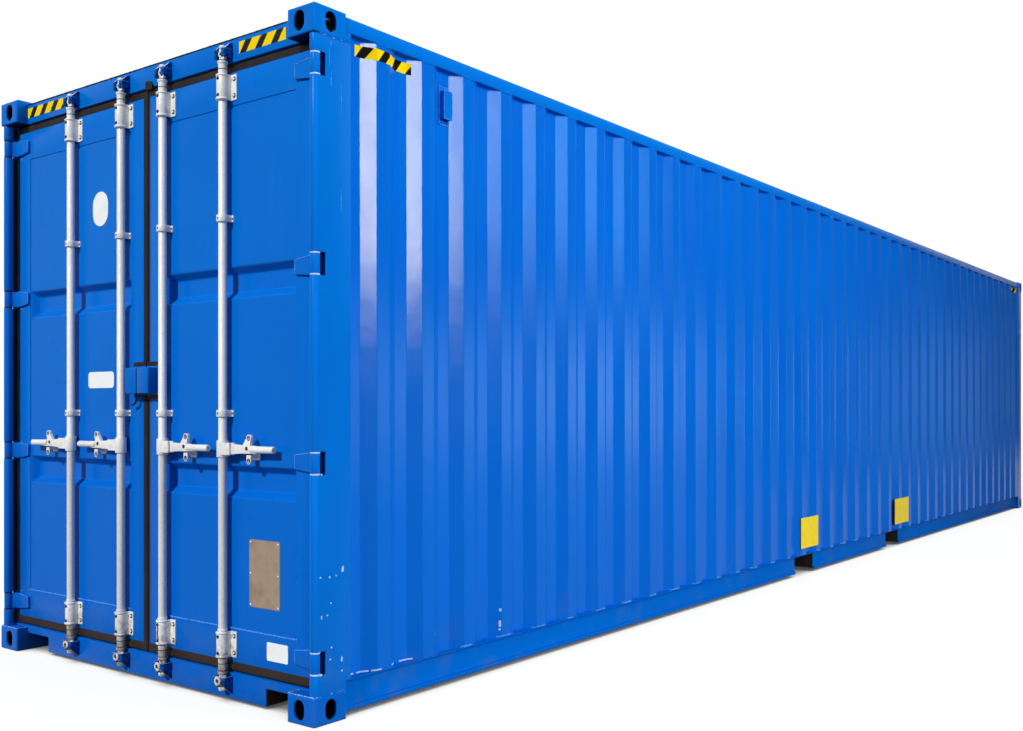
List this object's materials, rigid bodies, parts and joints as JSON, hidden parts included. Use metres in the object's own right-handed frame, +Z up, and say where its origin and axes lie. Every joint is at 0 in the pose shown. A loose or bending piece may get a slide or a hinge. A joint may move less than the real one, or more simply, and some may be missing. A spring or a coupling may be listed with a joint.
{
  "type": "shipping container",
  "caption": "High-cube steel freight container with corrugated walls, cast lifting corners and hinged end doors held by locking bars with lift-out handles.",
  "frame": {"origin": "on the ground under the middle of the box", "axes": "+X along the length towards the blind end, doors at -X; +Z up; the long side in the picture is -Y"},
  "size_m": [12.192, 2.438, 2.896],
  "materials": {
    "blue_paint": "semi-gloss",
    "galvanised_steel": "matte zinc",
    "black_rubber": "matte",
    "plywood": "worn"
  },
  "bodies": {
    "box": {"bottom_corner_castings": "blue_paint", "top_corner_castings": "blue_paint", "right_door_post": "blue_paint", "left_door_post": "blue_paint", "hinge_pins": "blue_paint", "blind_end_posts": "blue_paint", "post_caps": "blue_paint", "door_header": "blue_paint", "door_sill": "blue_paint", "top_side_rails": "blue_paint", "right_bottom_rail": "blue_paint", "left_bottom_rail": "blue_paint", "right_side_wall": "blue_paint", "left_side_wall": "blue_paint", "blind_end_wall": "blue_paint", "blind_end_top_rail": "blue_paint", "blind_end_bottom_rail": "blue_paint", "roof_panel": "blue_paint", "roof_end_plates": "blue_paint", "cross_members": "blue_paint", "tunnel_outriggers": "blue_paint", "tunnel_sides": "blue_paint", "tunnel_roof": "blue_paint", "fork_pockets": "blue_paint", "floor_boards": "plywood", "ventilators": "blue_paint", "upper_cam_keepers": "blue_paint", "lower_cam_keepers": "blue_paint"},
    "left_door": {"left_door_frame": "blue_paint", "left_door_panel": "blue_paint", "left_door_gasket": "black_rubber", "left_door_hinge_blades": "blue_paint", "left_door_bar_brackets": "galvanised_steel", "left_door_handle_rests": "galvanised_steel", "left_door_lock_box": "blue_paint"},
    "left_outer_bar": {"left_outer_bar": "galvanised_steel"},
    "left_outer_handle": {"left_outer_handle": "galvanised_steel"},
    "left_inner_bar": {"left_inner_bar": "galvanised_steel"},
    "left_inner_handle": {"left_inner_handle": "galvanised_steel"},
    "right_door": {"right_door_frame": "blue_paint", "right_door_panel": "blue_paint", "right_door_gasket": "black_rubber", "right_door_hinge_blades": "blue_paint", "right_door_bar_brackets": "galvanised_steel", "right_door_handle_rests": "galvanised_steel", "right_door_lock_box": "blue_paint"},
    "right_outer_bar": {"right_outer_bar": "galvanised_steel"},
    "right_outer_handle": {"right_outer_handle": "galvanised_steel"},
    "right_inner_bar": {"right_inner_bar": "galvanised_steel"},
    "right_inner_handle": {"right_inner_handle": "galvanised_steel"}
  },
  "joints": [
    {"name": "left_door_hinge", "type": "hinge", "parent": "box", "child": "left_door", "pos_m": [-6.068, 1.193, 0.2], "axis": [0, 0, -1], "range_deg": [0, 255]},
    {"name": "left_outer_bar_turn", "type": "hinge", "parent": "left_door", "child": "left_outer_bar", "pos_m": [-6.06, 0.6, 1.1], "axis": [0, 0, -1], "range_deg": [-90, 0]},
    {"name": "left_outer_handle_lift", "type": "hinge", "parent": "left_outer_bar", "child": "left_outer_handle", "pos_m": [-6.067, 0.654, 1.1], "axis": [-1, 0, 0], "range_deg": [-35, 0]},
    {"name": "left_inner_bar_turn", "type": "hinge", "parent": "left_door", "child": "left_inner_bar", "pos_m": [-6.06, 0.165, 1.1], "axis": [0, 0, -1], "range_deg": [-90, 0]},
    {"name": "left_inner_handle_lift", "type": "hinge", "parent": "left_inner_bar", "child": "left_inner_handle", "pos_m": [-6.067, 0.219, 1.1], "axis": [-1, 0, 0], "range_deg": [-35, 0]},
    {"name": "right_door_hinge", "type": "hinge", "parent": "box", "child": "right_door", "pos_m": [-6.068, -1.193, 0.2], "axis": [0, 0, 1], "range_deg": [0, 255]},
    {"name": "right_outer_bar_turn", "type": "hinge", "parent": "right_door", "child": "right_outer_bar", "pos_m": [-6.06, -0.6, 1.1], "axis": [0, 0, 1], "range_deg": [-90, 0]},
    {"name": "right_outer_handle_lift", "type": "hinge", "parent": "right_outer_bar", "child": "right_outer_handle", "pos_m": [-6.067, -0.654, 1.1], "axis": [1, 0, 0], "range_deg": [-35, 0]},
    {"name": "right_inner_bar_turn", "type": "hinge", "parent": "right_door", "child": "right_inner_bar", "pos_m": [-6.06, -0.165, 1.1], "axis": [0, 0, 1], "range_deg": [-90, 0]},
    {"name": "right_inner_handle_lift", "type": "hinge", "parent": "right_inner_bar", "child": "right_inner_handle", "pos_m": [-6.067, -0.219, 1.1], "axis": [1, 0, 0], "range_deg": [-35, 0]}
  ]
}
